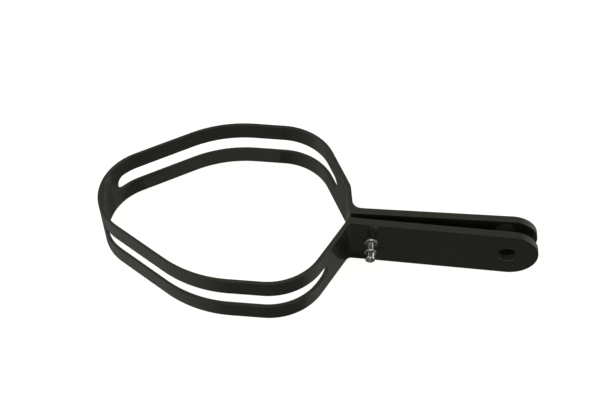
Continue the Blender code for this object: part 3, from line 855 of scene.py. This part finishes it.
# ------------------------------------------------------------------- stage
bm = bmesh.new()
bmesh.ops.create_grid(bm, x_segments=1, y_segments=1, size=4.0)
mesh = bpy.data.meshes.new("floor")
bm.to_mesh(mesh)
bm.free()
floor = bpy.data.objects.new("floor", mesh)
bpy.context.scene.collection.objects.link(floor)
floor.location = (0.0, 0.0, -0.0001)
fm = bpy.data.materials.new("floor_white")
fm.use_nodes = True
fm.node_tree.nodes["Principled BSDF"].inputs["Base Color"].default_value = (0.18, 0.18, 0.18, 1.0)
fm.node_tree.nodes["Principled BSDF"].inputs["Roughness"].default_value = 0.9
fm.node_tree.nodes["Principled BSDF"].inputs["Specular IOR Level"].default_value = 0.1
fm.node_tree.nodes["Principled BSDF"].inputs["Emission Color"].default_value = (1.0, 0.992, 0.955, 1.0)
fm.node_tree.nodes["Principled BSDF"].inputs["Emission Strength"].default_value = 0.90
floor.data.materials.append(fm)
floor.visible_glossy = False
# painted shade: a near-black sheet on the floor under the gap between the tabs, hidden from the camera, which darkens
# the tabs' reflections and the light bounced up from below
bm = bmesh.new()
strip = [bm.verts.new(world(x, y, 0.0)) for x, y in ((-6.0, -8.2), (97.0, -10.4), (97.0, -2.6), (-6.0, -5.0))]
bm.faces.new(strip)
mesh = bpy.data.meshes.new("gap_shade")
bm.to_mesh(mesh)
bm.free()
mirror = bpy.data.objects.new("gap_shade", mesh)
bpy.context.scene.collection.objects.link(mirror)
mirror.location = (0.0, 0.0, -0.00005)
gm = bpy.data.materials.new("gap_shade")
gm.use_nodes = True
gm.node_tree.nodes["Principled BSDF"].inputs["Base Color"].default_value = (0.015, 0.015, 0.014, 1.0)
gm.node_tree.nodes["Principled BSDF"].inputs["Roughness"].default_value = 0.9
gm.node_tree.nodes["Principled BSDF"].inputs["Specular IOR Level"].default_value = 0.0
mirror.data.materials.append(gm)
mirror.visible_camera = False
mirror.visible_shadow = False
mirror.visible_transmission = False
# glowing cards on the floor inside the loop beside the rear half, seen only by its gloss: painted reflections that
# make the rear half's gloss paler, and at the bend a dimmer card that is painted shade in its reflection
for name, near, far, strength, x0, x1 in (("card_near", 0.6, 12.0, 0.235, -122.0, -46.0),
                                          ("card_far", 12.0, 30.0, 0.13, -122.0, -46.0),
                                          ("card_end", 0.6, 7.0, 0.12, -132.0, -118.5),
                                          ("bend_shade_card", 8.0, 17.0, 0.085, -125.0, -104.0)):
    bm = bmesh.new()
    rows_ = []
    for s in STATIONS:
        pi, _, ti, _ = wall(s)
        if TAB_R1 < s < S_APEX and x0 < pi[0] < x1:
            taper = near + (far - near) * smoothstep((pi[0] + 136.0) / (26.0 if name == "card_near" else 12.0))
            rows_.append([bm.verts.new(world(pi[0] - ti[1] * d, pi[1] + ti[0] * d, 0.0)) for d in (near, taper)])
    for p, q in zip(rows_[:-1], rows_[1:]):
        bm.faces.new((p[0], p[1], q[1], q[0]))
    mesh = bpy.data.meshes.new(name)
    bm.to_mesh(mesh)
    bm.free()
    card = bpy.data.objects.new(name, mesh)
    bpy.context.scene.collection.objects.link(card)
    card.location = (0.0, 0.0, {"card_end": -0.00007, "bend_shade_card": -0.00005}.get(name, -0.00006))
    cm = bpy.data.materials.new(name)
    cm.use_nodes = True
    for key, value in (("Base Color", (0.02, 0.02, 0.02, 1.0)), ("Roughness", 0.9),
                       ("Emission Color", (1.0, 0.985, 0.94, 1.0)), ("Emission Strength", strength)):
        cm.node_tree.nodes["Principled BSDF"].inputs[key].default_value = value
    card.data.materials.append(cm)
    card.visible_camera = card.visible_diffuse = card.visible_shadow = card.visible_transmission = False
# painted shade: a dim sheet on the floor in the corner between the front flank and the front tab, seen only by gloss,
# which darkens the strap's reflections near the neck
bm = bmesh.new()
corner = [bm.verts.new(world(x, y, 0.0)) for x, y in ((-4.6, -8.6), (-5.6, -11.5), (-1.0, -17.0), (9.0, -17.5), (15.0, -9.2))]
bm.faces.new(corner)
mesh = bpy.data.meshes.new("corner_shade")
bm.to_mesh(mesh)
bm.free()
shade = bpy.data.objects.new("corner_shade", mesh)
bpy.context.scene.collection.objects.link(shade)
shade.location = (0.0, 0.0, -0.00006)
cm = bpy.data.materials.new("corner_shade")
cm.use_nodes = True
for key, value in (("Base Color", (0.012, 0.012, 0.012, 1.0)), ("Roughness", 0.9), ("Specular IOR Level", 0.0),
                   ("Emission Color", (1.0, 0.985, 0.94, 1.0)), ("Emission Strength", 0.012)):
    cm.node_tree.nodes["Principled BSDF"].inputs[key].default_value = value
shade.data.materials.append(cm)
shade.visible_camera = shade.visible_diffuse = shade.visible_shadow = shade.visible_transmission = False

# The surroundings that the gloss picks up: a dim room, a paler sweep at each side,
# and a soft panel above and behind. All of it is by direction, the same from every view.
studio = bpy.data.worlds.new("studio")
bpy.context.scene.world = studio
studio.use_nodes = True
wt = studio.node_tree
direction = wt.nodes.new("ShaderNodeTexCoord").outputs["Generated"]


def wmath(op, a, b, c=None):
    n = wt.nodes.new("ShaderNodeMath")
    n.operation = op
    for sock, v in zip(n.inputs, (a, b, c)):
        if v is None:
            continue
        if isinstance(v, float):
            sock.default_value = v
        else:
            wt.links.new(v, sock)
    return n.outputs[0]


def patch(axis, start, full, level):
    """a soft patch of light round a direction"""
    dot = wt.nodes.new("ShaderNodeVectorMath")
    dot.operation = 'DOT_PRODUCT'
    wt.links.new(direction, dot.inputs[0])
    dot.inputs[1].default_value = Vector(axis).normalized()
    r = wt.nodes.new("ShaderNodeMapRange")
    r.interpolation_type = 'SMOOTHSTEP'
    wt.links.new(dot.outputs["Value"], r.inputs["Value"])
    for k, v in zip(("From Min", "From Max", "To Min", "To Max"), (start, full, 0.0, level)):
        r.inputs[k].default_value = v
    return r.outputs[0]


level = wmath('ADD', patch((0, 0, 1), -0.25, 0.35, 0.02), 0.095)
for args in (((-0.05, 0.64, 0.77), 0.86, 0.97, 0.08),
             ((0.0, -0.34, 0.94), 0.92, 0.99, 0.06),
             ((0.0, -0.94, 0.32), 0.93, 0.985, 1.10),
             ((0.94, -0.06, 0.34), 0.86, 0.96, 1.80),
             ((-0.94, -0.06, 0.34), 0.86, 0.96, 0.55),
             ((-0.74, -0.12, 0.66), 0.93, 0.985, 1.40),
             ((0.63, 0.12, -0.77), 0.955, 0.985, 0.12),
             ((-0.62, -0.20, -0.76), 0.80, 0.97, 0.12)):
    level = wmath('ADD', level, patch(*args))
# a paler band round the horizon, which the walls pick up in low views
axes = wt.nodes.new("ShaderNodeSeparateXYZ")
wt.links.new(direction, axes.inputs[0])
band = wt.nodes.new("ShaderNodeMapRange")
band.interpolation_type = 'SMOOTHSTEP'
wt.links.new(wmath('ABSOLUTE', axes.outputs[2], None), band.inputs["Value"])
for k, v in zip(("From Min", "From Max", "To Min", "To Max"), (0.32, 0.68, 0.26, 0.0)):
    band.inputs[k].default_value = v
side = wmath('ADD', wmath('MULTIPLY', wmath('ABSOLUTE', axes.outputs[0], None), 0.7), 0.5)
level = wmath('ADD', level, wmath('MULTIPLY', band.outputs[0], side))
wt.links.new(level, wt.nodes["Background"].inputs["Strength"])
wt.nodes["Background"].inputs["Color"].default_value = (1.0, 0.985, 0.94, 1.0)


def softbox(name, at, aim, sx, sy, watts):
    la = bpy.data.lights.new(name, 'AREA')
    la.shape = 'RECTANGLE'
    la.size, la.size_y, la.energy = sx, sy, watts
    ob = bpy.data.objects.new(name, la)
    bpy.context.scene.collection.objects.link(ob)
    ob.location = at
    ob.rotation_mode = 'QUATERNION'
    ob.rotation_quaternion = (Vector(aim) - Vector(at)).to_track_quat('-Z', 'Y')
    ob.visible_glossy = False
    return ob


softbox("overhead", (0.0, 0.0, 1.6), (0.0, 0.0, 0.0), 1.8, 1.8, 24.0)
softbox("left", (-1.5, -0.1, 0.55), (0.0, 0.0, 0.0), 1.0, 0.7, 11.0)
softbox("right", (1.5, -0.1, 0.55), (0.0, 0.0, 0.0), 1.0, 0.7, 3.0)
softbox("front", (-1.05, -1.05, 0.60), (0.0, 0.0, 0.0), 1.0, 0.7, 14.0)

# ------------------------------------------------------------------ camera
AZ, EL, ROLL, DIST = 0.100147, 0.870559, -0.005096, 561.967
back = Vector((math.sin(AZ) * math.cos(EL), -math.cos(AZ) * math.cos(EL), math.sin(EL)))
eye = Vector((-32.0135 + NECK_X, 13.7214, 15.0)) + back * DIST
right = (-back).cross(Vector((0, 0, 1))).normalized()
up = right.cross(-back)
r2 = right * math.cos(ROLL) + up * math.sin(ROLL)
u2 = up * math.cos(ROLL) - right * math.sin(ROLL)
cam = bpy.data.cameras.new("camera")
cam.sensor_width = 36.0
cam.lens = math.exp(6.92813) * 36.0 / 600.0
cam.clip_start, cam.clip_end = 0.01, 20.0
camera = bpy.data.objects.new("camera", cam)
bpy.context.scene.collection.objects.link(camera)
camera.matrix_world = Matrix(((r2.x, u2.x, back.x, eye.x * MM), (r2.y, u2.y, back.y, eye.y * MM),
                              (r2.z, u2.z, back.z, eye.z * MM), (0, 0, 0, 1)))
bpy.context.scene.camera = camera
bpy.context.scene.view_settings.view_transform = 'Standard'
